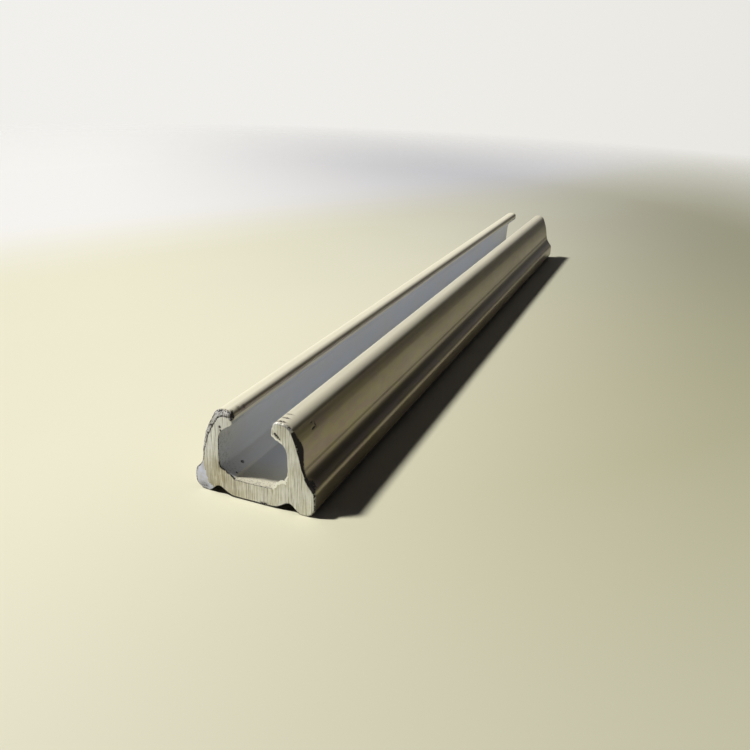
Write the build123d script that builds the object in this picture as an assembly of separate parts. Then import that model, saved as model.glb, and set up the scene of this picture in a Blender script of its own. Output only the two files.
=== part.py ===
from build123d import *
from math import dist, radians, tan
import os

# A short length of extruded aluminium channel, lying slot up on its two flared feet.
# Millimetres, +Z up. The rail runs along Y, and the origin is on the floor, under the middle of it.

# Length and outside of the section
rail_length = 180.0
rail_height = 14.0          # soles to the top of the lips
foot_reach = 1.8            # a foot stands this far out past the root of its wall
foot_side = 4.1             # upright outer side of a foot
foot_rise = 2.1             # slope from there up to the wall
root_wall = 2.45            # wall thickness where it grows out of the foot
crown_wall = 1.85           # wall thickness where it starts to curl inward
crown_drop = 3.8            # the curl starts this far below the top
shoulder_inset = 1.6        # corner of the curl, inward from there, before rounding

# Base and underside
web_thickness = 2.8         # underside to channel floor
web_lift = 0.2              # the underside hangs this far above the soles
sole_width = 2.6            # before rounding
groove_run = 1.5            # from the sole in to the top of the groove
groove_lead = 2.2           # from the top of the groove in to the flat of the underside
groove_depth = 1.4          # above the underside

# Slot, lips and cavity
slot_width = 6.5
lip_edge = 2.0              # height of a lip beside the slot
cavity_width = 11.7         # between the walls
lip_lean = 0.2              # the wall leans in by this under the lip
lip_drop = 3.6              # from the top down to where the lip's underside meets the wall
floor_width = 6.4           # flat of the channel floor
bevel_height = 1.5          # rise of the slope from the floor to the wall

# Roundings
groove_lead_radius = 3.0
groove_radius = 0.9
sole_inner_radius = 1.1
sole_outer_radius = 1.6
foot_radius = 1.6
root_radius = 5.0
crown_radius = 18.0
shoulder_radius = 1.9
lip_top_radius = 1.4
lip_under_radius = 0.5
lip_root_radius = 2.6
bevel_radius = 0.8
floor_radius = 0.3

# Sawn end in front: its outer edge is filed back all round, and the left foot is filed to a wide shallow slope
filed_edge = 0.5
filed_foot_width = 2.6
filed_foot_depth = 0.45

# Half widths and heights that follow from these
wall_x = cavity_width / 2
foot_x = wall_x + root_wall + foot_reach
sole_x = foot_x - sole_width
groove_x = sole_x - groove_run
floor_z = web_lift + web_thickness
reach = rail_height / 3     # how far a cutting shape runs past what it cuts


def outer_corners():
    """Corners up the right outside, from the foot to the shoulder, each with the radius that rounds it."""
    crown_x = wall_x + crown_wall
    return [
        ((foot_x, foot_side), foot_radius),
        ((wall_x + root_wall, foot_side + foot_rise), root_radius),
        ((crown_x, rail_height - crown_drop), crown_radius),
        ((crown_x - shoulder_inset, rail_height), shoulder_radius),
    ]


def under_corners():
    """Corners of the right underside: flat of the base, groove and sole."""
    return [
        ((groove_x - groove_lead, web_lift), groove_lead_radius),
        ((groove_x, web_lift + groove_depth), groove_radius),
        ((sole_x, 0), sole_inner_radius),
        ((foot_x, 0), sole_outer_radius),
    ]


def inner_corners():
    """Corners of the right inside: lip edge, sloping underside of the lip, wall, bevel and floor."""
    return [
        ((slot_width / 2, rail_height), lip_top_radius),
        ((slot_width / 2, rail_height - lip_edge), lip_under_radius),
        ((wall_x - lip_lean, rail_height - lip_drop), lip_root_radius),
        ((wall_x, floor_z + bevel_height), bevel_radius),
        ((floor_width / 2, floor_z), floor_radius),
    ]


def fitted_radii(points, radii):
    """The radii, cut down only where the roundings at both ends of an edge would not fit on it."""
    taken = [0]
    for before, corner, after, radius in zip(points, points[1:], points[2:], radii):
        turn = (Vector(*corner) - Vector(*before)).get_angle(Vector(*after) - Vector(*corner))
        taken.append(radius * tan(radians(turn / 2)))
    taken.append(0)
    room = [dist(a, b) / (first + last) for a, b, first, last in zip(points, points[1:], taken, taken[1:])]
    return [radius * min(1, 0.98 * before, 0.98 * after) for radius, before, after in zip(radii, room, room[1:])]


def mirrored_face(start, corners, end):
    """Face drawn as its right half from start to end, both on the middle line, and mirrored."""
    points = [start] + [point for point, radius in corners] + [end]
    radii = fitted_radii(points, [radius for point, radius in corners])
    with BuildSketch(Plane.XZ) as sketch:
        with BuildLine():
            FilletPolyline(*points, radius=radii)
            mirror(about=Plane.YZ)
        make_face()
    return sketch.sketch


def section():
    """The rail's cross-section, one closed outline round walls, lips, cavity and feet."""
    corners = under_corners() + outer_corners() + inner_corners()
    return mirrored_face((0, web_lift), corners, (0, floor_z))


def envelope():
    """Outside of the section with slot and cavity closed, and its sides run down past the soles."""
    corners = [((foot_x, -reach), sole_outer_radius)] + outer_corners()
    return mirrored_face((0, -reach), corners, (0, rail_height))


def filed_tip():
    """The last stretch at the front end, where the file has taken the outer edge back at 45 degrees."""
    start = Location((0, filed_edge - rail_length / 2, 0))
    plain = extrude(start * section(), amount=filed_edge)
    tapered = extrude(start * envelope(), amount=filed_edge, taper=45)
    return plain & tapered


def foot_filing():
    """Wedge that takes the front left foot back to a shallow slope."""
    side = -foot_x
    front = -rail_length / 2
    slope = filed_foot_depth / filed_foot_width
    inner = (side + filed_foot_width + reach, front - reach * slope)
    outer = (side - reach, front + filed_foot_depth + reach * slope)
    corner = (side - reach, front - reach * slope)
    return extrude(make_face(Polyline(inner, outer, corner, close=True)), amount=rail_height + reach)


body = extrude(Location((0, filed_edge / 2, 0)) * section(), amount=(rail_length - filed_edge) / 2, both=True)
rail = body + filed_tip() - foot_filing()

os.makedirs("parts", exist_ok=True)
export_step(rail, "parts/channel_rail.step")
print("section area", round(section().area, 2), "volume", round(rail.volume, 1))
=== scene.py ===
import math

import bpy
import numpy as np
from bpy.props import FloatProperty, FloatVectorProperty, IntProperty, PointerProperty
from mathutils import Matrix, Vector


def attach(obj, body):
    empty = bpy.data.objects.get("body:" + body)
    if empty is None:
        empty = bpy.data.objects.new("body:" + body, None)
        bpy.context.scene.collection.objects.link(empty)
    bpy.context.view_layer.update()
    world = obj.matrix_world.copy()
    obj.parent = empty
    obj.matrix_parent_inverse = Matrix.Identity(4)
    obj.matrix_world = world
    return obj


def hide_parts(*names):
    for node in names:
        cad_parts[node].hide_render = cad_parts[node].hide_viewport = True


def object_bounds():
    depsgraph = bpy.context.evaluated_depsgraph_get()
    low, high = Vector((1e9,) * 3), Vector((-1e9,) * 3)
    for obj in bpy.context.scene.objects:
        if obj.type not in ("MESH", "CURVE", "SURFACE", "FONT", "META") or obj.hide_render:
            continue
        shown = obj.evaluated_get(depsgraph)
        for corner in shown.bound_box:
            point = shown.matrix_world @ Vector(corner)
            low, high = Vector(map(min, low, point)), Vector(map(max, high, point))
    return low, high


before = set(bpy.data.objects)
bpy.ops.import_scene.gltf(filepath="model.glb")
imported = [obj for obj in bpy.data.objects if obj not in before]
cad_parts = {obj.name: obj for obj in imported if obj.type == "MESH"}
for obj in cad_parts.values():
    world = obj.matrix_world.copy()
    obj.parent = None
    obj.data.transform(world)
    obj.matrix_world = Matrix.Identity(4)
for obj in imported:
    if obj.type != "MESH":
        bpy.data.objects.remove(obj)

bl_info = {
    "name": "Channel rail",
    "version": (1, 0, 0),
    "blender": (4, 5, 0),
    "location": "3D View > Sidebar > Rail",
    "description": "A short sawn length of extruded aluminium channel with a filed end",
    "category": "Add Mesh",
}

MM = 0.001
CAD_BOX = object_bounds()
NODE = "channel_rail"
BODY = "root"
FRONT = CAD_BOX[0].y
BACK = CAD_BOX[1].y
RAIL_HEIGHT = CAD_BOX[1].z
HALF_SPAN = CAD_BOX[1].x


def linear(hex_colour):
    """Turns an sRGB hex colour into linear red, green, blue and alpha."""
    parts = [int(hex_colour[i:i + 2], 16) / 255 for i in (0, 2, 4)]
    return tuple(p / 12.92 if p <= 0.04045 else ((p + 0.055) / 1.055) ** 2.4 for p in parts) + (1.0,)


def length(name, millimetres, description):
    """A length property with its default in millimetres."""
    return FloatProperty(
        name=name, description=description, default=millimetres * MM, unit="LENGTH", precision=5
    )


def colour(name, hex_colour, description):
    """A colour property with its default as sRGB hex."""
    return FloatVectorProperty(
        name=name, description=description, default=linear(hex_colour), subtype="COLOR", size=4, min=0, max=1
    )


class RailSizes(bpy.types.PropertyGroup):
    """Sizes of the extruded section, in the same terms as its die."""

    foot_reach: length("Foot reach", 1.8, "How far a foot stands out past the root of its wall")
    foot_side: length("Foot side", 4.1, "Upright outer side of a foot")
    foot_rise: length("Foot rise", 2.1, "Slope from the foot's side up to the wall")
    root_wall: length("Root wall", 2.45, "Wall thickness above the foot")
    crown_wall: length("Crown wall", 1.85, "Wall thickness where it starts to curl inward")
    crown_drop: length("Crown drop", 3.8, "The curl starts this far below the top")
    shoulder_inset: length("Shoulder inset", 1.6, "Corner of the curl, inward from where it starts")
    web_thickness: length("Web thickness", 2.8, "Underside to channel floor")
    web_lift: length("Web lift", 0.2, "Gap between the underside and what the rail lies on")
    sole_width: length("Sole width", 2.6, "Width of a sole before rounding")
    groove_run: length("Groove run", 1.5, "From the sole in to the top of the groove")
    groove_lead: length("Groove lead", 2.2, "From the top of the groove in to the flat underside")
    groove_depth: length("Groove depth", 1.4, "Top of the groove above the underside")
    slot_width: length("Slot width", 6.5, "Opening between the lips")
    lip_edge: length("Lip edge", 2.0, "Height of a lip beside the slot")
    cavity_width: length("Cavity width", 11.7, "Inside width between the walls")
    lip_lean: length("Lip lean", 0.2, "The wall leans in by this under the lip")
    lip_drop: length("Lip drop", 3.6, "From the top down to where the lip's underside meets the wall")
    floor_width: length("Floor width", 6.4, "Flat of the channel floor")
    bevel_height: length("Bevel height", 1.5, "Rise of the slope from the floor to the wall")
    half_steps: IntProperty(
        name="Half steps", description="Points along each half of the outline", default=250, min=60, max=400
    )
    wall_steps: IntProperty(
        name="Wall steps", description="Points through the thickness of the wall", default=22, min=4, max=40
    )


class RailEnd(bpy.types.PropertyGroup):
    """What the saw and the file left at the front end."""

    recess: length("Recess", 0.06, "The face stays this far inside the rail's full length")
    saw_pitch: length("Saw pitch", 0.34, "Spacing of the ridges that the saw and the file left on the face")
    saw_ridge: length("Saw ridge", 0.022, "Height of those ridges")
    face_wave: length("Face wave", 0.05, "Height of the slow waves across the face")
    foot_filing_width: length("Foot filing width", 2.6, "Width of the sloping facet on the left foot")
    foot_filing_depth: length("Foot filing depth", 0.16, "How far that facet falls back at its outer side")
    arris: length("Arris", 0.05, "Rounding of the edges that were not filed")


class RailColours(bpy.types.PropertyGroup):
    """Colours of the metal's finishes and of the stage."""

    skin: colour("Skin", "E6E1CB", "Anodised surface outside, yellowed a little by light and hands")
    # The inside colour is the cooler tone of shade in the channel, painted in; the lit sill at the front
    # keeps the skin colour.
    inside: colour("Inside", "D8DCE5", "Anodised surface inside the channel, which kept its cooler tone")
    stain: colour("Stain", "DDD7C3", "Handling stains on the anodised surface")
    # The handled colour is partly real handling and partly painted shade on the outer sides and the right
    # lip.
    handled_and_shade: colour("Handled", "A0967D", "Browner skin of the outer sides, where the rail is held")
    sawn: colour("Sawn face", "E6E6E5", "Fresh metal that the saw and the file laid open")
    sawn_dull: colour("Sawn face, dull", "C5C2B0", "Oxidised patches of that face")
    filed: colour("Filed edge", "DBDFF7", "Facets that the file left")
    # The grime colour also stands as painted shade under the rail and along the right side's sawn edge.
    grime_and_shade: colour("Grime", "231C20", "Dirt in pits, nicks and the fold of a burr")
    floor: colour("Floor", "E9E7D3", "Floor under the rail, towards the window")
    # The next three floor colours paint light and shade on the floor: darker beyond the rail, whiter far off
    # towards the window, darker far off on the right.
    floor_shade: colour("Floor, dim", "BAB89A", "Floor on the other side of the rail")
    floor_painted_light: colour("Floor, cool", "F1F1F5", "Whiter floor far off towards the window")
    far_shade: colour("Far tone", "C6C7CE", "Tone laid over the floor at the far right")
    backdrop: colour("Backdrop", "F1F0EC", "What shows behind the floor towards the window")
    backdrop_dim: colour("Backdrop, dim", "C6C3B6", "What shows behind the floor away from the window")


# Outline of the section

# Points on the arc of a rounded corner, and the radius of each corner in mm
ARC_STEPS = 24
RADII = {
    "lead": 3.0, "groove": 0.9, "sole_inner": 1.1, "sole_outer": 1.6, "foot": 1.6, "root": 5.0,
    "crown": 18.0, "shoulder": 1.9, "lip_top": 1.0,
    "floor": 0.3, "bevel": 0.8, "lip_root": 2.6, "lip_under": 0.5,
}


def unit(vectors):
    """Each row divided by its own length."""
    return vectors / np.linalg.norm(vectors, axis=-1, keepdims=True)


def rounded_path(start, corners, end):
    """Half outline from start to end with every named corner rounded by its own radius.

    Where two edges leave a corner at an angle w, the arc of radius r touches each of them at a
    distance of r / tan(w / 2) from the corner, and its centre lies r / sin(w / 2) along the line
    that halves the angle. The arc turns from the first touching point to the second by pi - w,
    with sines as weights, for all corners at once."""
    points = np.array([start] + list(corners.values()) + [end])
    radius = np.array([RADII[name] * MM for name in corners])[:, None]
    corner = points[1:-1]
    back = unit(points[:-2] - corner)
    ahead = unit(points[2:] - corner)
    half_angle = np.arccos(np.sum(back * ahead, axis=1, keepdims=True)) / 2
    centre = corner + unit(back + ahead) * radius / np.sin(half_angle)
    reach = radius / np.tan(half_angle)
    first = (corner + back * reach - centre)[:, None]
    last = (corner + ahead * reach - centre)[:, None]
    turn = (np.pi - 2 * half_angle)[:, None]
    t = np.linspace(0, 1, ARC_STEPS)[None, :, None]
    arcs = centre[:, None] + (np.sin((1 - t) * turn) * first + np.sin(t * turn) * last) / np.sin(turn)
    return np.vstack([points[:1], arcs.reshape(-1, 2), points[-1:]])


def run_along(path):
    """Distance from the start of a path to each of its points."""
    return np.concatenate([[0], np.cumsum(np.linalg.norm(np.diff(path, axis=0), axis=1))])


def corner_runs(path, corners):
    """For each named corner, the distance along a path to the point of it that is nearest to the corner."""
    along = run_along(path)
    places = np.array(list(corners.values()))
    nearest = np.argmin(np.linalg.norm(path - places[:, None], axis=2), axis=1)
    return dict(zip(corners, along[nearest]))


def points_at(path, runs):
    """Points of a path at given distances along it."""
    along = run_along(path)
    return np.column_stack([np.interp(runs, along, path[:, axis]) for axis in (0, 1)])


def outer_corners(sizes):
    """Named corners of the right outside before rounding, from the underside round the foot to the lip."""
    wall = sizes.cavity_width / 2
    foot = wall + sizes.root_wall + sizes.foot_reach
    sole = foot - sizes.sole_width
    groove = sole - sizes.groove_run
    crown = wall + sizes.crown_wall
    return {
        "lead": (groove - sizes.groove_lead, sizes.web_lift),
        "groove": (groove, sizes.web_lift + sizes.groove_depth),
        "sole_inner": (sole, 0),
        "sole_outer": (foot, 0),
        "foot": (foot, sizes.foot_side),
        "root": (wall + sizes.root_wall, sizes.foot_side + sizes.foot_rise),
        "crown": (crown, RAIL_HEIGHT - sizes.crown_drop),
        "shoulder": (crown - sizes.shoulder_inset, RAIL_HEIGHT),
        "lip_top": (sizes.slot_width / 2, RAIL_HEIGHT),
    }


def inner_corners(sizes):
    """Named corners of the right inside before rounding, from the channel floor up the wall to the lip."""
    wall = sizes.cavity_width / 2
    floor = sizes.web_lift + sizes.web_thickness
    return {
        "floor": (sizes.floor_width / 2, floor),
        "bevel": (wall, floor + sizes.bevel_height),
        "lip_root": (wall - sizes.lip_lean, RAIL_HEIGHT - sizes.lip_drop),
        "lip_under": (sizes.slot_width / 2, RAIL_HEIGHT - sizes.lip_edge),
    }


def half_paths(sizes):
    """The right half's outer and inner paths, from the middle of the base to the lip's edge at the slot.

    They end on that edge, past the roundings of its two corners."""
    edge = sizes.slot_width / 2
    top = RAIL_HEIGHT - 1.05 * RADII["lip_top"] * MM
    bottom = RAIL_HEIGHT - sizes.lip_edge + RADII["lip_under"] * MM
    floor = sizes.web_lift + sizes.web_thickness
    outer_path = rounded_path((0, sizes.web_lift), outer_corners(sizes), (edge, top))
    inner_path = rounded_path((0, floor), inner_corners(sizes), (edge, bottom))
    return outer_path, inner_path


def matching_runs(sizes, outer_path, inner_path, outer_runs):
    """For distances along the outer path, those along the inner path that lie across the wall from them.

    The pairs that lie across from each other are groove and middle of the bevel, sole and upper
    part of it, foot and its upper end, root and just above that, crown and lip root, shoulder and
    middle of the lip's underside. Between two pairs both distances grow evenly."""
    outer = corner_runs(outer_path, outer_corners(sizes))
    inner = corner_runs(inner_path, inner_corners(sizes))
    slope = inner["bevel"] - inner["floor"]
    pairs = [
        (0, 0),
        (outer["groove"], inner["floor"] + 0.55 * slope),
        (outer["sole_inner"], inner["floor"] + 0.9 * slope),
        (outer["foot"], inner["bevel"]),
        (outer["root"], inner["bevel"] + 0.6 * MM),
        (outer["crown"], inner["lip_root"]),
        (outer["shoulder"], (inner["lip_root"] + inner["lip_under"]) / 2),
        (run_along(outer_path)[-1], run_along(inner_path)[-1]),
    ]
    outer_marks, inner_marks = zip(*pairs)
    return np.interp(outer_runs, outer_marks, inner_marks)


def mirrored(half):
    """A half row of points with its mirror image, from the left end through the middle to the right one."""
    return np.concatenate([half[::-1] * np.array([-1, 1]), half[1:]])


def outward(row):
    """Unit normals of a row of section points: out of the metal on the outer row, into it on the inner."""
    along = unit(np.gradient(row, axis=0))
    return np.column_stack([along[:, 1], -along[:, 0]])


def die_line(row):
    """Height of the ridge that the die left along the outside of each wall: a bell curve of z."""
    ridge, middle, reach = 0.075, 6.9, 0.36
    return ridge * MM * np.exp(-(((row[:, 1] / MM - middle) / reach) ** 2))


def section_rows(sizes):
    """Outer and inner row of the section, from the left lip's edge to the right one's, and their runs.

    The outer runs are those of the right half. The inner ones go with the whole row, and are
    negative on the left."""
    outer_path, inner_path = half_paths(sizes)
    runs = np.linspace(0, run_along(outer_path)[-1], sizes.half_steps + 1)
    across = matching_runs(sizes, outer_path, inner_path, runs)
    outer = mirrored(points_at(outer_path, runs))
    outer = outer + outward(outer) * die_line(outer)[:, None]
    inner = mirrored(points_at(inner_path, across))
    return outer, inner, runs, np.concatenate([-across[::-1], across[1:]])


# What the saw and the file left

def wavering(values, pitch, seed):
    """Repeatable random line, read at the values: heights from -1 to 1, one pitch apart, joined straight."""
    count = 4096
    heights = np.random.default_rng(seed).uniform(-1, 1, count)
    return np.interp(values / pitch + count // 2, np.arange(count), heights)


def saw_ridges(x, z, end):
    """Ridges that run up the face: wavering lines of x, carried up z with a slight lean and bow.

    The coarse ones fade in and out on the way up, and fine ones with under half their pitch sway
    between them."""
    bow = 0.3 * MM * (z / (20 * MM)) ** 2
    lean = x + 0.03 * z + bow
    fading = 0.65 + 0.35 * wavering(z, 2.4 * MM, 2)
    sway = 0.2 * MM * wavering(z, 3 * MM, 3)
    coarse = wavering(lean, end.saw_pitch, 1) * fading
    fine = wavering(lean + sway, end.saw_pitch * 0.45, 4)
    return end.saw_ridge * (0.7 * coarse + 0.3 * fine)


def slow_waves(x, z, end):
    """Slow waves of the hand-sawn face, as the sum of three sine waves: across it, slanted and up it."""
    across = 0.5 * np.sin(x / (3.1 * MM))
    slanted = 0.3 * np.sin((x + z) / (4.7 * MM))
    upward = 0.2 * np.sin(z / (2.2 * MM))
    return end.face_wave * (across + slanted + upward)


def foot_filing(x, z, end):
    """Depth of the facet on the left foot: from its edge outward, a line and a square added up.

    Its edge leans out by a quarter of the height. Near the sole a square of the depth below a toe
    line is added."""
    toe = 1.6 * MM
    edge = -HALF_SPAN + end.foot_filing_width - 0.26 * (z - 3 * MM)
    across = np.clip((edge - x) / end.foot_filing_width, 0, 1)
    drop = np.clip((toe - z) / toe, 0, 1)
    slope = end.foot_filing_depth * (0.4 * across + 0.6 * across ** 2)
    return slope + 0.2 * MM * drop ** 2 * (across > 0)


def face_height(x, z, end):
    """How far the smooth front face lies behind the rail's full length."""
    return end.recess + end.face_wave + slow_waves(x, z, end) + foot_filing(x, z, end)


# How far the filed edge reaches in from the outline and back from the face at each corner, in mm
FILED_LEFT = {
    "lead": (0, 0), "groove": (0, 0), "sole_inner": (0.1, 0.1), "sole_outer": (0.2, 0.12),
    "foot": (0.2, 0.15), "root": (0.3, 0.25), "crown": (0.75, 0.45), "shoulder": (1.0, 0.5),
    "lip_top": (0.9, 0.5),
}
FILED_RIGHT = {
    "lead": (0, 0), "groove": (0, 0), "sole_inner": (0.1, 0.1), "sole_outer": (0.12, 0.12),
    "foot": (0.25, 0.25), "root": (0.12, 0.2), "crown": (0.4, 0.5), "shoulder": (0.3, 0.3),
    "lip_top": (0.25, 0.2),
}


def filing(sizes, runs):
    """Width and depth of the filed edge along the outer row, evenly graded from corner to corner."""
    outer_path = half_paths(sizes)[0]
    marks = list(corner_runs(outer_path, outer_corners(sizes)).values())
    left = [np.interp(runs, marks, values) * MM for values in zip(*FILED_LEFT.values())]
    right = [np.interp(runs, marks, values) * MM for values in zip(*FILED_RIGHT.values())]
    return [np.concatenate([a[::-1], b[1:]]) for a, b in zip(left, right)]


def gouge(outer):
    """Extra depth of the filed edge in the right wall: a bell curve of the height."""
    depth, middle, reach = 0.7, 10.4, 1.5
    x, z = outer.T / MM
    return depth * MM * np.exp(-(((z - middle) / reach) ** 2)) * (x > 5)


def bulge(outer):
    """How far the saw bent the edge of the left wall out, graded between four heights."""
    x, z = outer.T / MM
    return np.interp(z, [5.2, 7.2, 9.8, 12.6], [0, 0.33, 0.33, 0]) * MM * (x < -5)


# Height of the burr in the channel by run along the inner outline, both in mm, with the left side negative
BURR = {
    -9.0: 0, -7.2: 0.1, -6.3: 0.18, -5.0: 0.28, -3.7: 0.2, -3.1: 0.04, 0: 0.06, 2.4: 0.1,
    3.0: 0.15, 3.6: 0.42, 4.2: 0.72, 5.4: 0.82, 6.25: 0.88, 6.95: 0.5, 7.6: 0.15, 8.2: 0,
    12.4: 0, 13.0: 0.12, 14.4: 0.2, 14.8: 0.06, 15.1: 0,
}


def burr(inner_runs):
    """Height of the burr that the saw pushed up into the channel: evenly graded between marks, and ragged.

    A random line is added to it, as a share of that height and a little of its own."""
    height = np.interp(inner_runs / MM, list(BURR), list(BURR.values())) * MM
    ragged = wavering(inner_runs, 0.28 * MM, 7)
    return height * (1 + 0.28 * ragged) + 0.25 * np.minimum(height, 0.2 * MM) * (1 + ragged)


# Small hurts, each with its place (x, distance from the front end, z), its reach along each axis and its
# push (x, y, z) in mm, and then its grime. The last two of FACE_MARKS bent the left foot's shoulder.
LIP_NICKS = [
    ((4.4, 0.9, 14.0), (0.9, 0.20, 0.6), (0, 0, -0.12), 1.1),
    ((4.4, 2.15, 14.0), (0.8, 0.18, 0.6), (0, 0, -0.10), 1.0),
    ((4.4, 3.45, 14.0), (0.7, 0.18, 0.6), (0, 0, -0.08), 0.8),
    ((-4.3, 0.5, 14.0), (0.9, 0.35, 0.6), (0, 0, -0.16), 0.8),
    ((-3.5, 0.9, 13.9), (0.4, 0.30, 0.6), (0, 0, -0.14), 1.1),
    ((-3.2, 0.3, 13.2), (0.35, 0.5, 0.4), (-0.25, 0, -0.1), 3.0),
    ((-3.4, 2.5, 13.9), (0.3, 0.35, 0.4), (0, 0, -0.10), 1.0),
    ((-3.2, 3.7, 13.6), (0.3, 0.30, 0.4), (-0.08, 0, 0), 0.9),
    ((-5.2, 0.2, 13.7), (0.3, 0.25, 0.3), (0, 0, -0.1), 0.9),
    ((6.05, 0.2, 13.6), (0.25, 0.30, 0.25), (-0.12, 0, -0.15), 1.9),
]
FACE_MARKS = [
    ((-5.3, 0, 11.3), (0.16, 0.4, 0.16), (0, 0.05, 0), 1.9),
    ((-5.2, 0, 10.75), (0.13, 0.4, 0.16), (0, 0.05, 0), 1.7),
    ((-6.6, 0, 11.3), (0.2, 0.4, 0.3), (0, 0.05, 0), 0.9),
    ((-7.0, 0, 10.4), (0.15, 0.4, 0.3), (0, 0.05, 0), 1.0),
    ((3.8, 0, 12.2), (0.14, 0.4, 0.14), (0, 0.08, 0), 2.0),
    ((4.02, 0, 12.0), (0.16, 0.4, 0.15), (0, 0.08, 0), 2.4),
    ((4.25, 0, 11.76), (0.15, 0.4, 0.16), (0, 0.08, 0), 2.4),
    ((4.5, 0, 11.5), (0.12, 0.4, 0.13), (0, 0.08, 0), 1.8),
    ((1.7, 0.1, 0.3), (0.6, 0.5, 0.25), (0, 0, -0.12), 1.2),
    ((-8.65, 0, 0.75), (1.2, 0.5, 0.65), (0, 0, 0), 0.53),
    ((-9.9, 0, 4.7), (1.0, 2.6, 1.2), (0.55, 0, -0.4), 0),
    ((-8.7, 0, 5.7), (1.0, 2.6, 1.0), (0.1, 0, -0.45), 0),
]
WALL_MARKS = [
    ((7.05, 5.4, 12.4), (0.3, 0.5, 0.14), (-0.03, 0, 0), 1.2),
    ((7.1, 6.2, 11.8), (0.3, 0.16, 0.5), (-0.03, 0, 0), 1.0),
    ((7.15, 5.5, 11.5), (0.3, 0.5, 0.14), (-0.03, 0, 0), 1.1),
    ((-5.7, 2.9, 8.8), (0.3, 0.5, 0.6), (0, 0, 0), 0.38),
    ((-5.85, 2.2, 5.5), (0.3, 0.5, 0.5), (0, 0, 0), 0.4),
    ((-4.4, 4.4, 3.7), (0.3, 0.24, 0.25), (0, 0, -0.04), 1.4),
    ((-3.8, 1.65, 3.3), (0.3, 0.3, 0.3), (0, 0, 0), 0.6),
    ((9.1, 0.75, 4.75), (0.6, 0.8, 0.65), (-0.2, 0.1, 0), 2.4),
    ((-5.3, 0.7, 4.4), (0.7, 0.7, 0.5), (0, 0, 0), 0.45),
]


def hurt(points, hurts):
    """Pushes points in at each hurt by a bell curve of distance over reach, and gives their grime."""
    grime_and_shade = np.zeros(len(points))
    for place, reach, push, dirt_and_shade in hurts:
        centre = np.array(place) * MM + np.array([0, FRONT, 0])
        bell = np.exp(-np.sum(((points - centre) / (np.array(reach) * MM)) ** 2, axis=1))
        points += bell[:, None] * np.array(push) * MM
        grime_and_shade = np.maximum(grime_and_shade, bell * dirt_and_shade)
    return grime_and_shade


# The rail's mesh

EDGE_ROWS = 5
ANODISED, SAWN, FILED = 0, 1, 2


def stations():
    """Distances of the rings behind the front: close for the first 7 mm, then further and further apart."""
    whole = (BACK - FRONT) / MM
    near = np.arange(0.25, 7, 0.2)
    far = np.geomspace(7.4, whole - 0.6, 24)
    last = whole - np.array([0.3, 0.12])
    return np.concatenate([near, far, last]) * MM


def cap_grid(outer, inner, steps):
    """Points (x, z) of an end face: straight lines across the wall from the outer row to the inner row."""
    t = np.linspace(0, 1, steps + 1)[None, :, None]
    return outer[:, None] * (1 - t) + inner[:, None] * t


def edge_loop(rows, columns):
    """Places in a face's grid along its edge, as numbers along the rows and numbers across the wall.

    The order is outer row, right lip's edge, inner row backwards, left lip's edge."""
    s = np.arange(rows)
    t = np.arange(1, columns - 1)
    right, left = np.full(len(t), rows - 1), np.zeros(len(t), int)
    along = np.concatenate([s, right, s[::-1], left])
    across = np.concatenate([np.zeros(rows, int), t, np.full(rows, columns - 1), t[::-1]])
    return along, across


def grid_quads(numbers):
    """Quads of a grid of vertex numbers, in the order first axis then second axis."""
    a, b = numbers[:-1, :-1], numbers[1:, :-1]
    c, d = numbers[1:, 1:], numbers[:-1, 1:]
    return np.stack([a, b, c, d], axis=-1).reshape(-1, 4)


def front_cap(sizes, end, outer, inner, widths):
    """Front face as points (x, y, z): the filed-back outline, filled across the wall by straight lines.

    Its y is the sum of the face's smooth height and its ridges."""
    pulled = outer + outward(outer) * (bulge(outer) - widths)[:, None]
    flat = cap_grid(pulled, inner, sizes.wall_steps)
    x, z = flat[..., 0], flat[..., 1]
    y = FRONT + face_height(x, z, end) + saw_ridges(x, z, end)
    return np.stack([x, y, z], axis=-1)


def back_cap(sizes, end, outer, inner):
    """Back face, sawn square: the whole outline less a fine arris, with the same kind of ridges."""
    arris_outer = outer - outward(outer) * end.arris
    arris_inner = inner + outward(inner) * end.arris
    flat = cap_grid(arris_outer, arris_inner, sizes.wall_steps)
    x, z = flat[..., 0], flat[..., 1]
    y = BACK - end.recess - saw_ridges(x + 7 * MM, z, end)
    return np.stack([x, y, z], axis=-1)


def wall_rings(sizes, end, outer, inner, depths, fin):
    """Rings of the walls as points (x, y, z), one for each station.

    Each ring is the whole outline. Its y starts from the height of the face there plus the depth of
    the filed edge, and eases to the station's own distance over the first 6 mm. The fin of the burr
    thins out over 0.5 mm, and the bulge of the left wall dies away as an exponential over 1.6 mm."""
    flat = cap_grid(outer, inner, sizes.wall_steps)
    depth = np.zeros(flat.shape[:2])
    depth[:, 0] = depths
    depth = np.maximum(depth, end.arris)
    along, across = edge_loop(*flat.shape[:2])
    ring = flat[along, across]
    start = face_height(ring[:, 0], ring[:, 1], end) + depth[along, across]
    behind = np.concatenate([[0], stations()])[:, None]
    ease = np.clip(1 - behind / (6 * MM), 0, 1)
    y = FRONT + behind + start * ease
    raised = np.zeros_like(ring)
    raised[across == across.max()] = (outward(inner) * -fin[:, None])[::-1]
    bent = np.zeros_like(ring)
    bent[across == 0] = outward(outer) * bulge(outer)[:, None]
    thinning = np.interp(behind, [0, 0.25 * MM, 0.5 * MM], [1, 0.5, 0])
    dying = np.exp(-behind / (1.6 * MM))
    x = ring[:, 0] + raised[:, 0] * thinning + bent[:, 0] * dying
    z = ring[:, 1] + raised[:, 1] * thinning + bent[:, 1] * dying
    return np.stack([x, y, z], axis=-1)


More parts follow.
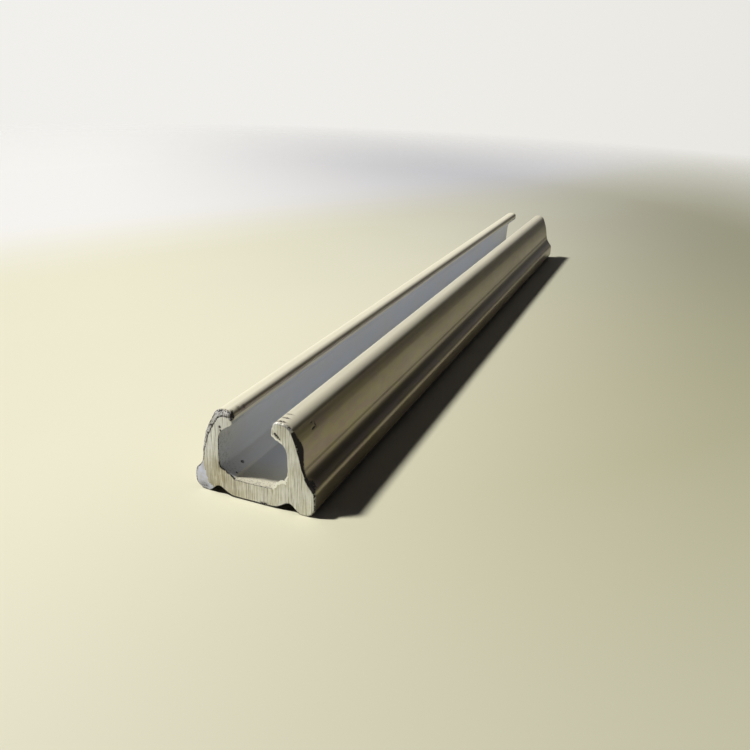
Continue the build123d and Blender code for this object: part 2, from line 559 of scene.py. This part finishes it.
def edge_rows(face_edge, ring, shares=(0.25, 0.6)):
    """Rows between the edge of the front face and the first ring, at the given shares of the way.

    A parabola of that share, up to a tenth of the way, lifts them forward, so the filed edge is slightly
    round."""
    share = np.array(shares)[:, None, None]
    rows = face_edge * (1 - share) + ring * share
    way = np.linalg.norm(ring - face_edge, axis=1)
    rows[..., 1] -= 0.4 * share[..., 0] * (1 - share[..., 0]) * way
    return rows


def between(values, low, high, soft):
    """Share that is full between two values and fades to nothing over a soft distance outside them."""
    return np.clip((values - low) / soft + 1, 0, 1) * np.clip((high - values) / soft + 1, 0, 1)


def handled_and_shade_share(outer, across, along):
    """How much each point of a ring takes the browner handled skin, which also stands as painted
    shade: full on the outer sides and feet, and none inside.

    The right lip, on the side away from the light, has a little of it as painted shade. It goes
    over full, up to 1.6, as painted shade in the crease above each foot, and less so as painted
    shade under the right shoulder."""
    x, z = outer.T / MM
    sideways = np.clip((np.abs(outward(outer)[:, 0]) - 0.62) / 0.25, 0, 1)
    low = np.clip((10 - z) / 1.5, 0, 1)
    # The right half's share of 0.22 is painted shade on the side away from the light.
    share = np.maximum.reduce([sideways, low, 0.22 * (x > 0)])
    # Painted shade in the crease above each foot.
    hollow_shade = between(z, 5.2, 6.3, 0.6) * (np.abs(x) > 7.6)
    # Painted shade under the right shoulder.
    shoulder = between(z, 11.4, 12.4, 0.5) * (x > 5)
    return (share + 0.6 * hollow_shade + 0.22 * shoulder)[along] * (across == 0)


def edge_grime_and_shade(outer, inner_runs, across):
    """Grime and painted shade of the rows at the sawn edge: the face's own, two of the filed edge, and the
    first two rings.

    Each line below is a stretch of the outline, as a share of each point, and the darkness that it
    gives to those rows, grime on some lines and painted shade on others. Below nothing it is the
    bright metal of a thin burr."""
    x, z = outer.T / MM
    s = inner_runs / MM
    left, right = x < 0, x > 0
    outside = [
        (left * between(z, 11.6, 15, 0.4) * (x < -3), (1.3, 0.36, 0.42, 0.55, 0.3)),
        (right * between(z, 13.3, 15, 0.3), (0.3, 0.3, 0.3, 0.3, 0.1)),
        (left * between(z, 5.8, 11.4, 0.4), (0.95, 0.46, 0.42, 0.6, 0.25)),
        (left * between(z, -1, 5.2, 0.3) * (x < -7.6), (0.35, 0.8, 1.1, 1.3, 0.6)),
        # Painted shade along the underside: a dark line at the face's lower border and the gap below it.
        (between(np.abs(x), -1, 7.4, 0.3) * (z < 1.8), (1.5, 1.6, 1.6, 1.6, 1.2)),
        (right * between(z, -1, 4.2, 0.3) * (x > 7.8), (0.3, 0.7, 0.7, 0.5, 0.1)),
        # Painted shade in the crease above the right foot, on the side away from the light.
        (right * between(z, 4.4, 6.0, 0.3) * (x > 7), (1.0, 1.8, 2.0, 2.0, 2.0)),
        # Painted shade on the right's filed bevel, which faces away from the light; its face row is bright
        # burr.
        (right * between(z, 6.4, 12.7, 0.3) * (x > 5), (-0.6, 1.3, 2.0, 2.0, 0.5)),
    ]
    inside = [
        (between(s, -6.9, -3.4, 0.3), (0.6, 1.5, 1.6, 1.6, 1.3)),
        (between(s, -14.5, -6.9, 0.6), (0.6, 0.9, 0.9, 0.7, 0.25)),
        (between(s, -3.4, 3.2, 0.3), (0.62, 0.75, 0.62, 0.42, 0.25)),
        (between(s, 3.3, 7.3, 0.3), (-1.0, -1.0, 0.3, 1.5, 1.5)),
        (between(s, 7.9, 12.8, 0.4), (0.1, 0.3, 0.3, 0.2, 0.0)),
        (between(s, 12.9, 14.7, 0.3), (-1.0, -1.0, -1.0, -0.6, 0.0)),
    ]
    grime_and_shade = np.zeros((EDGE_ROWS, len(across)))
    grime_and_shade[:, across == 0] = np.sum([share * np.array(rows)[:, None] for share, rows in outside], axis=0)
    inner_grime = np.sum([share * np.array(rows)[:, None] for share, rows in inside], axis=0)
    grime_and_shade[:, across == across.max()] = inner_grime[:, ::-1]
    return grime_and_shade


def vertex_grime_and_shade(points, face, skin, outer, inner_runs, across):
    """Pushes the hurts in, and gives each vertex its grime or painted shade: the most of all that lies on
    it.

    That is the hurts' own, the sawn edge's grime and painted shade, painted shade on the underside,
    and dust inside that thins out from the front as an exponential. The bright metal of a burr
    spreads to two more columns of the face, and takes no dust."""
    rings = slice(2 * face.size, None)
    grime_and_shade = hurt(points, LIP_NICKS + FACE_MARKS)
    grime_and_shade[rings] = np.maximum(grime_and_shade[rings], hurt(points[rings], WALL_MARKS))
    x, z = outer.T / MM
    # Painted shade under the rail: the underside and the bottom of the outer rows go dark behind the sawn
    # edge.
    base = between(np.abs(x), -1, 7.6, 0.4) * (z < 1.75)
    under = np.maximum(base, between(z, -1, 0.7, 0.6))
    behind_edge = skin[EDGE_ROWS:-1, across == 0]
    grime_and_shade[behind_edge] = np.maximum(grime_and_shade[behind_edge], 1.35 * under)
    edge = edge_grime_and_shade(outer, inner_runs, across)
    grime_and_shade[skin[:EDGE_ROWS]] = np.where(edge < 0, edge, np.maximum(grime_and_shade[skin[:EDGE_ROWS]], edge))
    at_inner = edge[0, across == across.max()][::-1]
    for column in (-2, -3):
        grime_and_shade[face[:, column]] = np.where(at_inner < -0.5, at_inner, grime_and_shade[face[:, column]])
    dust = np.zeros(len(points))
    dust[skin[1:-1, across == across.max()]] = 0.33
    dust *= np.exp(-(points[:, 1] - FRONT) / (7 * MM))
    return np.where(grime_and_shade < 0, grime_and_shade, np.maximum(grime_and_shade, dust))


def inside_shade_share(points, skin, across):
    """How much of the inside colour, a painted shade tone, each vertex takes: full inside, and less on the
    channel's floor near the front, where the light falls.
    """
    share = np.zeros(len(points))
    share[skin[1:-1, across == across.max()]] = 1
    behind = points[:, 1] - FRONT
    # The lit sill at the front keeps the warmer skin: painted light.
    lit_sill = (points[:, 2] < 3.2 * MM) * np.clip(1.3 - behind / (6 * MM), 0, 1)
    return share * (1 - lit_sill)


def quad_finishes(sizes, end, front, skin, outer):
    """Finish of each quad: the front face's quads, then the back face's, then the skin's.

    Both faces are sawn, and so is the skin's edge in front and its last row behind. On the left
    foot's facet the face and the edge in front are filed."""
    left_foot = (outer[:, 0] < -7.6 * MM) & (outer[:, 1] < 5.5 * MM)
    skin_finish = np.full((len(skin) - 1, skin.shape[1]), ANODISED)
    skin_finish[:3] = SAWN
    skin_finish[:3, :len(outer)][:, left_foot] = FILED
    skin_finish[-1] = SAWN
    corners = grid_quads(np.arange(front[..., 0].size).reshape(front.shape[:2]))
    middle = front.reshape(-1, 3)[corners].mean(axis=1)
    on_slope = foot_filing(middle[:, 0], middle[:, 2], end) > 0.02 * MM
    in_foot = middle[:, 2] < sizes.foot_side + sizes.foot_rise + 0.3 * MM
    front_finish = np.where(on_slope & in_foot, FILED, SAWN)
    return np.concatenate([front_finish, np.full(len(corners), SAWN), skin_finish.ravel()])


def rail_mesh(sizes, end):
    """The whole rail as vertices, quads, the quads' finishes and the marks on the vertices.

    The vertices are the front face's, the back face's and the rings'. The skin is a grid of their
    numbers: the front face's edge, the rings and the back face's edge."""
    outer, inner, runs, inner_runs = section_rows(sizes)
    widths, depths = filing(sizes, runs)
    fin = burr(inner_runs)
    front = front_cap(sizes, end, outer, inner - outward(inner) * fin[:, None], widths)
    back = back_cap(sizes, end, outer, inner)
    rings = wall_rings(sizes, end, outer, inner, depths + gouge(outer), fin)
    along, across = edge_loop(*front.shape[:2])
    rings = np.concatenate([edge_rows(front[along, across], rings[0]), rings])
    face = np.arange(front[..., 0].size).reshape(front.shape[:2])
    far_face = face + face.size
    ring_numbers = np.arange(rings[..., 0].size).reshape(rings.shape[:2]) + 2 * face.size
    skin = np.vstack([face[along, across], ring_numbers, far_face[along, across]])
    points = np.vstack([part.reshape(-1, 3) for part in (front, back, rings)])
    grime_and_shade = vertex_grime_and_shade(points, face, skin, outer, inner_runs, across)
    handled_and_shade = np.zeros(len(points))
    handled_and_shade[ring_numbers] = handled_and_shade_share(outer, across, along)
    marks = {"grime_and_shade": grime_and_shade, "handled_and_shade": handled_and_shade, "inside": inside_shade_share(points, skin, across)}
    closed_skin = np.hstack([skin, skin[:, :1]])
    quads = np.vstack([grid_quads(face), grid_quads(far_face)[:, ::-1], grid_quads(closed_skin)])
    return points, quads, quad_finishes(sizes, end, front, skin, outer), marks


def make_object(name, points, quads, materials, finish=None, marks=None, sharp=None):
    """A mesh object from whole arrays, shaded smooth, with edges over the sharp angle left crisp."""
    mesh = bpy.data.meshes.new(name)
    mesh.from_pydata(points, [], quads)
    for material in materials:
        mesh.materials.append(material)
    if finish is not None:
        mesh.polygons.foreach_set("material_index", finish.astype(np.int32))
    for key, values in (marks or {}).items():
        mesh.attributes.new(key, "FLOAT", "POINT").data.foreach_set("value", values)
    mesh.polygons.foreach_set("use_smooth", np.ones(len(quads), bool))
    mesh.update()
    if sharp is not None:
        mesh.set_sharp_from_angle(angle=math.radians(sharp))
    made = bpy.data.objects.new(name, mesh)
    bpy.context.scene.collection.objects.link(made)
    return made


# Materials

# Lesser colours, as sRGB hex, laid over those of the property group. ROOM is the dim light from all round,
# and WINDOW is the lamp's own colour.
TINTS = {
    "burr": "FFFFFF",
    "band": "DCDAD2",
    "scuff": "F0F0EE",
    "grey_brown": "9A8B84",
    # Painted shade for the crease above each foot.
    "hollow_shade": "3F3A33",
    "lilac": "CFCBE0",
    "dull_corner": "B4AB95",
    "clean_corner": "F0F2FA",
    "dark_streak": "8B8373",
    "bright_streak": "FCFBF6",
    "filed_dull": "AEA898",
    "card_cloud": "DDDACD",
}
ROOM = "807A9A"
WINDOW = "FFFDF4"


def add(tree, kind, inputs=None, **settings):
    """Adds one node: settings are its own properties, inputs are values or the sockets that feed them."""
    made = tree.nodes.new(kind)
    for key, value in settings.items():
        setattr(made, key, value)
    for key, value in (inputs or {}).items():
        socket = made.inputs[key]
        if isinstance(value, bpy.types.NodeSocket):
            tree.links.new(value, socket)
        else:
            socket.default_value = value
    return made


def new_material(name):
    """An empty material and its node tree."""
    material = bpy.data.materials.new(name)
    material.use_nodes = True
    material.node_tree.nodes.clear()
    return material, material.node_tree


def noise_at(tree, pitch, detail=3.0, roughness=0.55):
    """Noise whose grains are the given size along x, y and z, in millimetres, on Object coordinates."""
    scale = [1 / (grain * MM) for grain in pitch]
    scaled = add(tree, "ShaderNodeMapping", {"Vector": object_place(tree), "Scale": scale})
    values = {"Vector": scaled.outputs["Vector"], "Scale": 1.0, "Detail": detail, "Roughness": roughness}
    return add(tree, "ShaderNodeTexNoise", values).outputs["Fac"]


def remap(tree, value, low, high, to_low=0.0, to_high=1.0):
    """A value moved from one range to another and held inside it."""
    inputs = {"Value": value, "From Min": low, "From Max": high, "To Min": to_low, "To Max": to_high}
    return add(tree, "ShaderNodeMapRange", inputs, clamp=True).outputs["Result"]


def blend(tree, share, first, second):
    """Two colours mixed by a share."""
    inputs = {"Factor": share, 6: first, 7: second}
    return add(tree, "ShaderNodeMix", inputs, data_type="RGBA").outputs[2]


def blend_value(tree, share, first, second):
    """Two values mixed by a share."""
    return add(tree, "ShaderNodeMix", {"Factor": share, 2: first, 3: second}, data_type="FLOAT").outputs[0]


def tint(tree, base, name, value, low, high, least=0.0, most=1.0):
    """A lesser colour laid over a base: its share goes from least to most as a value goes low to high."""
    return blend(tree, remap(tree, value, low, high, least, most), base, linear(TINTS[name]))


def times(tree, first, second):
    """Product of two values."""
    return add(tree, "ShaderNodeMath", {0: first, 1: second}, operation="MULTIPLY").outputs[0]


def larger(tree, first, second):
    """The larger one of two values."""
    return add(tree, "ShaderNodeMath", {0: first, 1: second}, operation="MAXIMUM").outputs[0]


def facing(tree, direction, towards):
    """How far a place or direction reaches along a fixed one: their dot product."""
    inputs = {0: direction, 1: towards}
    return add(tree, "ShaderNodeVectorMath", inputs, operation="DOT_PRODUCT").outputs["Value"]


def mark(tree, name):
    """Value of a mark that the mesh carries on its vertices."""
    return add(tree, "ShaderNodeAttribute", attribute_name=name).outputs["Fac"]


def object_place(tree):
    """Place on the object, in its own coordinates."""
    return add(tree, "ShaderNodeTexCoord").outputs["Object"]


def finish_metal(tree, base, roughness, normal, metallic):
    """Metal shader with the mesh's grime and painted shade laid over it: both are dark, dull and not
    metallic.

    Where there is little of it, it lies in loose specks about 0.3 mm apart and a thin film. Where
    there is much, it is packed, as in the painted shade under the rail and along the right edges.
    Grime below nothing is the bright bare metal of a burr."""
    colours = bpy.context.scene.rail_colours
    grime_and_shade = mark(tree, "grime_and_shade")
    speck = remap(tree, noise_at(tree, (0.28, 0.28, 0.28), 2.0), 0.35, 0.61)
    loose = remap(tree, times(tree, grime_and_shade, speck), 0.12, 0.45)
    packed = remap(tree, grime_and_shade, 1.1, 1.6)
    film = remap(tree, grime_and_shade, 0.05, 0.6, 0, 0.55)
    dirt_and_shade = larger(tree, larger(tree, loose, packed), film)
    bright = remap(tree, grime_and_shade, -0.1, -0.8)
    base = blend(tree, bright, base, linear(TINTS["burr"]))
    metallic = blend_value(tree, bright, metallic, 1.0)
    shader = add(tree, "ShaderNodeBsdfPrincipled", {
        "Base Color": blend(tree, dirt_and_shade, base, tuple(colours.grime_and_shade)),
        "Metallic": blend_value(tree, dirt_and_shade, metallic, 0.0),
        "Roughness": blend_value(tree, dirt_and_shade, roughness, 0.8),
        "Normal": normal,
    })
    add(tree, "ShaderNodeOutputMaterial", {"Surface": shader.outputs["BSDF"]})


def bump(tree, height, millimetres, under=None):
    """Bump of a real height in millimetres, on top of another one if given."""
    inputs = {"Height": height, "Distance": millimetres * MM, "Strength": 1.0}
    if under is not None:
        inputs["Normal"] = under
    return add(tree, "ShaderNodeBump", inputs).outputs["Normal"]


def anodised_aluminium():
    """Aluminium etched dull in the bath and anodised clear, as it was extruded and then handled.

    The etched metal under its thin clear oxide scatters most of the light, so it is hardly metallic
    here and rather rough. Where hands rubbed the outer sides it is smoother, browner and more
    metallic, and that brown also stands as painted shade on the outer sides and the right lip. It
    goes darker still as painted shade in the crease above each foot and under the right shoulder,
    and inside the channel the cooler colour is painted shade too. The die left fine lines along
    the rail, about 0.3 mm apart and a few thousandths deep."""
    colours = bpy.context.scene.rail_colours
    material, tree = new_material("anodised_aluminium")
    lines = noise_at(tree, (0.3, 300, 0.3), 4.0, 0.6)
    bands = noise_at(tree, (1.6, 260, 1.6), 2.0)
    clouds = noise_at(tree, (5, 14, 5), 4.0)
    grain = noise_at(tree, (0.35, 0.5, 0.35), 3.0)
    scuffs = noise_at(tree, (0.25, 3.0, 0.9), 2.0)
    tints = noise_at(tree, (1.8, 5, 1.4), 4.0)
    handled_and_shade = mark(tree, "handled_and_shade")
    # Handled skin, partly painted shade on the outer sides.
    rubbed_and_shaded = times(tree, handled_and_shade, remap(tree, clouds, 0.2, 0.6, 0.75, 1.0))
    # Cooler inside colour as painted shade, with the lit sill at the front left warm.
    skin = blend(tree, mark(tree, "inside"), tuple(colours.skin), tuple(colours.inside))
    base = blend(tree, remap(tree, clouds, 0.42, 0.72, 0, 0.35), skin, tuple(colours.stain))
    base = tint(tree, base, "band", bands, 0.3, 0.7, 0, 0.2)
    base = tint(tree, base, "scuff", scuffs, 0.66, 0.74, 0, 0.3)
    brown = tint(tree, tuple(colours.handled_and_shade), "grey_brown", tints, 0.42, 0.62)
    base = blend(tree, rubbed_and_shaded, base, brown)
    # Painted shade in the crease above each foot and under the right shoulder, where the mark goes over
    # full.
    base = tint(tree, base, "hollow_shade", handled_and_shade, 1.0, 1.6, 0, 0.6)
    roughness = blend_value(tree, rubbed_and_shaded, 0.42, 0.30)
    metallic = blend_value(tree, rubbed_and_shaded, 0.05, 0.8)
    relief = bump(tree, lines, 0.006)
    relief = bump(tree, bands, 0.02, relief)
    relief = bump(tree, grain, 0.005, relief)
    finish_metal(tree, base, roughness, relief, metallic)
    return material


def sawn_aluminium():
    """Bare aluminium of the sawn and filed end.

    The saw and then the file left upright lines a few tenths of a millimetre apart. Between them
    the metal is bright, and it has dulled to a yellowish oxide in patches, so the face is pale with
    fine warm and cool streaks. Its lower left corner is duller, and the part above that is
    cleaner."""
    colours = bpy.context.scene.rail_colours
    material, tree = new_material("sawn_aluminium")
    streaks = noise_at(tree, (0.16, 2.0, 4.0), 4.0, 0.65)
    tints = noise_at(tree, (0.45, 2.0, 3.0), 2.0)
    patches = noise_at(tree, (2.2, 2.0, 2.6), 3.0)
    grain = noise_at(tree, (0.2, 0.2, 0.2), 2.0)
    oxide = remap(tree, patches, 0.42, 0.72, 0, 0.7)
    base = blend(tree, oxide, tuple(colours.sawn), tuple(colours.sawn_dull))
    base = tint(tree, base, "lilac", tints, 0.55, 0.75, 0, 0.35)
    place = add(tree, "ShaderNodeSeparateXYZ", {0: object_place(tree)}).outputs
    leftward = remap(tree, place["X"], 2.0 * MM, -6.0 * MM)
    low = times(tree, leftward, remap(tree, place["Z"], 6.5 * MM, 4.5 * MM))
    high = times(tree, leftward, remap(tree, place["Z"], 5 * MM, 7.5 * MM))
    dull = times(tree, low, remap(tree, patches, 0.3, 0.6, 0.4, 1.0))
    base = blend(tree, dull, base, linear(TINTS["dull_corner"]))
    clean = times(tree, high, remap(tree, patches, 0.3, 0.6, 0.8, 0.3))
    base = blend(tree, clean, base, linear(TINTS["clean_corner"]))
    base = tint(tree, base, "dark_streak", streaks, 0.5, 0.66, 0, 0.75)
    base = tint(tree, base, "bright_streak", streaks, 0.46, 0.34, 0, 0.8)
    roughness = blend_value(tree, streaks, 0.45, 0.6)
    relief = bump(tree, streaks, 0.022)
    relief = bump(tree, grain, 0.008, relief)
    finish_metal(tree, base, roughness, relief, 0.7)
    return material


def filed_aluminium():
    """Bare aluminium where a fine file took the edge back.

    The strokes of a fine file are too close to show one by one, so the facets are even, pale and a
    little bluish, with a slight grain drawn coarser than it is."""
    colours = bpy.context.scene.rail_colours
    material, tree = new_material("filed_aluminium")
    strokes = noise_at(tree, (0.5, 0.25, 0.18), 3.0)
    clouds = noise_at(tree, (1.2, 1.2, 1.2), 3.0)
    base = tint(tree, tuple(colours.filed), "filed_dull", clouds, 0.4, 0.75, 0, 0.5)
    roughness = blend_value(tree, clouds, 0.55, 0.65)
    relief = bump(tree, strokes, 0.01)
    finish_metal(tree, base, roughness, relief, 0.5)
    return material


# Stage

def look_matrix(place, heading, pitch, roll):
    """Camera matrix from its place, heading left of +Y, pitch below the horizon, and roll."""
    turns = ((heading, "Z"), (90 - pitch, "X"), (roll, "Z"))
    turned = [Matrix.Rotation(math.radians(angle), 4, axis) for angle, axis in turns]
    return Matrix.Translation(place) @ turned[0] @ turned[1] @ turned[2]


def make_camera():
    """The photograph's camera: 757 pixels of focal length in a frame 750 pixels wide."""
    lens_pixels, frame_pixels, sensor = 757, 750, 36
    data = bpy.data.cameras.new("camera")
    data.sensor_width = sensor
    data.lens = sensor * lens_pixels / frame_pixels
    data.clip_start = 0.01
    data.clip_end = 20
    camera = bpy.data.objects.new("camera", data)
    place = (51.76 * MM, FRONT - 82.49 * MM, 60.74 * MM)
    camera.matrix_world = look_matrix(place, heading=21.88, pitch=22.46, roll=2.05)
    bpy.context.scene.collection.objects.link(camera)
    bpy.context.scene.camera = camera


def window_light():
    """The window's light: from far on the left, a little from the front and high up, and slightly soft."""
    softness, strength, source = 5.6, 4.1, (-0.576, -0.208, 0.79)
    data = bpy.data.lights.new("window", "SUN")
    data.angle = math.radians(softness)
    data.energy = strength
    data.color = linear(WINDOW)[:3]
    light = bpy.data.objects.new("window", data)
    light.rotation_mode = "QUATERNION"
    light.rotation_quaternion = Vector(source).to_track_quat("Z", "Y")
    bpy.context.scene.collection.objects.link(light)


def soft_step(tree, place, along, start, stop):
    """Share that eases from none to full between two distances along a direction on the floor.

    A direction longer than 1 makes the distances count for more in proportion."""
    inputs = {"Value": facing(tree, place, along), "From Min": start, "From Max": stop}
    return add(tree, "ShaderNodeMapRange", inputs, interpolation_type="SMOOTHSTEP").outputs["Result"]


def floor_material():
    """Matt cream card, which fades into the backdrop far from the rail.

    Painted light makes it whiter far off on the left, and painted shade makes it darker to the right and far
    off on the right."""
    colours = bpy.context.scene.rail_colours
    material, tree = new_material("cream_card")
    clouds = noise_at(tree, (60, 60, 60), 2.0)
    base = tint(tree, tuple(colours.floor), "card_cloud", clouds, 0.3, 0.7, 0, 0.12)
    place = object_place(tree)
    # Painted light: whiter far off towards the window.
    lit_share = soft_step(tree, place, (-2.2, 1, 0), 230 * MM, 450 * MM)
    base = blend(tree, lit_share, base, tuple(colours.floor_painted_light))
    # Painted shade: darker to the right of the rail.
    rightward = soft_step(tree, place, (1, 0, 0), -44 * MM, 80 * MM)
    base = blend(tree, rightward, base, tuple(colours.floor_shade))
    # Painted shade: darker far off on the right.
    far_shade_share = soft_step(tree, place, (1.1, 1, 0), -140 * MM, 250 * MM)
    toned = {"Factor": far_shade_share, 6: base, 7: tuple(colours.far_shade)}
    base = add(tree, "ShaderNodeMix", toned, data_type="RGBA", blend_type="MULTIPLY").outputs[2]
    card = add(tree, "ShaderNodeBsdfPrincipled", {"Base Color": base, "Roughness": 0.8})
    clear = add(tree, "ShaderNodeBsdfTransparent")
    middle = (-100 * MM, 80 * MM, 0)
    away = add(tree, "ShaderNodeVectorMath", {0: place, 1: middle}, operation="DISTANCE").outputs["Value"]
    gone = remap(tree, away, 200 * MM, 500 * MM)
    faded = add(tree, "ShaderNodeMixShader", {0: gone, 1: card.outputs[0], 2: clear.outputs[0]})
    add(tree, "ShaderNodeOutputMaterial", {"Surface": faded.outputs[0]})
    return material


def make_floor():
    """A level square floor around the rail, 1.4 m wide."""
    half = 0.7
    corners = np.array([(-half, -half, 0), (half, -half, 0), (half, half, 0), (-half, half, 0)])
    floor = make_object("floor", corners, np.array([[0, 1, 2, 3]]), [floor_material()])


def make_world():
    """The pale backdrop, and weak light from all round that grows towards the window.

    The camera sees the backdrop everywhere. The metal sees it only towards the window and, dimmer,
    to the right, and past that the dark room."""
    colours = bpy.context.scene.rail_colours
    world = bpy.data.worlds.new("studio")
    world.use_nodes = True
    tree = world.node_tree
    tree.nodes.clear()
    direction = add(tree, "ShaderNodeTexCoord").outputs["Generated"]
    windowward = facing(tree, direction, (-0.58, 0.58, 0.57))
    rightward = facing(tree, direction, (0.97, -0.1, 0.2))
    pale = larger(tree, remap(tree, windowward, 0.3, 1.0), remap(tree, rightward, 0.7, 0.95))
    rays = add(tree, "ShaderNodeLightPath").outputs
    in_metal = times(tree, larger(tree, rays["Is Glossy Ray"], rays["Is Transmission Ray"]), pale)
    share = larger(tree, in_metal, rays["Is Camera Ray"])
    strength = remap(tree, windowward, -0.4, 0.9, 0.015, 0.08)
    room = add(tree, "ShaderNodeBackground", {"Color": linear(ROOM), "Strength": strength})
    paler = remap(tree, facing(tree, direction, (-0.79, 0.61, 0)), -1.0, 1.0)
    wall = blend(tree, paler, tuple(colours.backdrop_dim), tuple(colours.backdrop))
    seen = add(tree, "ShaderNodeBackground", {"Color": wall, "Strength": 1.0})
    mixed = add(tree, "ShaderNodeMixShader", {0: share, 1: room.outputs[0], 2: seen.outputs[0]})
    add(tree, "ShaderNodeOutputWorld", {"Surface": mixed.outputs[0]})
    bpy.context.scene.world = world


# Operators, panel and registration

class RAIL_OT_build_rail(bpy.types.Operator):
    """Builds the rail with its sawn and filed end, its nicks and its metal finishes"""

    bl_idname = "rail.build_rail"
    bl_label = "Build the rail"

    def execute(self, context):
        sizes, end = context.scene.rail_sizes, context.scene.rail_end
        points, quads, finish, marks = rail_mesh(sizes, end)
        finishes = [anodised_aluminium(), sawn_aluminium(), filed_aluminium()]
        rail = make_object("rail", points, quads, finishes, finish, marks, sharp=33)
        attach(rail, BODY)
        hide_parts(NODE)
        return {"FINISHED"}


class RAIL_OT_set_stage(bpy.types.Operator):
    """Sets the floor, the backdrop, the window's light and the camera"""

    bl_idname = "rail.set_stage"
    bl_label = "Set the stage"

    def execute(self, context):
        make_floor()
        make_world()
        window_light()
        make_camera()
        context.scene.view_settings.view_transform = "Standard"
        return {"FINISHED"}


class RAIL_PT_panel(bpy.types.Panel):
    """Sizes, colours and steps of the rail"""

    bl_idname = "RAIL_PT_panel"
    bl_label = "Channel rail"
    bl_space_type = "VIEW_3D"
    bl_region_type = "UI"
    bl_category = "Rail"

    def draw(self, context):
        layout = self.layout
        for group in (context.scene.rail_sizes, context.scene.rail_end, context.scene.rail_colours):
            column = layout.column()
            for name in group.bl_rna.properties.keys():
                if name not in ("rna_type", "name"):
                    column.prop(group, name)
        for operator in (RAIL_OT_build_rail, RAIL_OT_set_stage):
            layout.operator(operator.bl_idname)


CLASSES = (RailSizes, RailEnd, RailColours, RAIL_OT_build_rail, RAIL_OT_set_stage, RAIL_PT_panel)


def register():
    """Registers the classes and hangs the property groups on the scene."""
    for each in CLASSES:
        bpy.utils.register_class(each)
    bpy.types.Scene.rail_sizes = PointerProperty(type=RailSizes)
    bpy.types.Scene.rail_end = PointerProperty(type=RailEnd)
    bpy.types.Scene.rail_colours = PointerProperty(type=RailColours)


def unregister():
    """Takes away what register added."""
    del bpy.types.Scene.rail_colours
    del bpy.types.Scene.rail_end
    del bpy.types.Scene.rail_sizes
    for each in reversed(CLASSES):
        bpy.utils.unregister_class(each)


def main():
    """Makes every piece and the stage."""
    register()
    bpy.ops.rail.build_rail()
    bpy.ops.rail.set_stage()


if __name__ == "__main__":
    main()
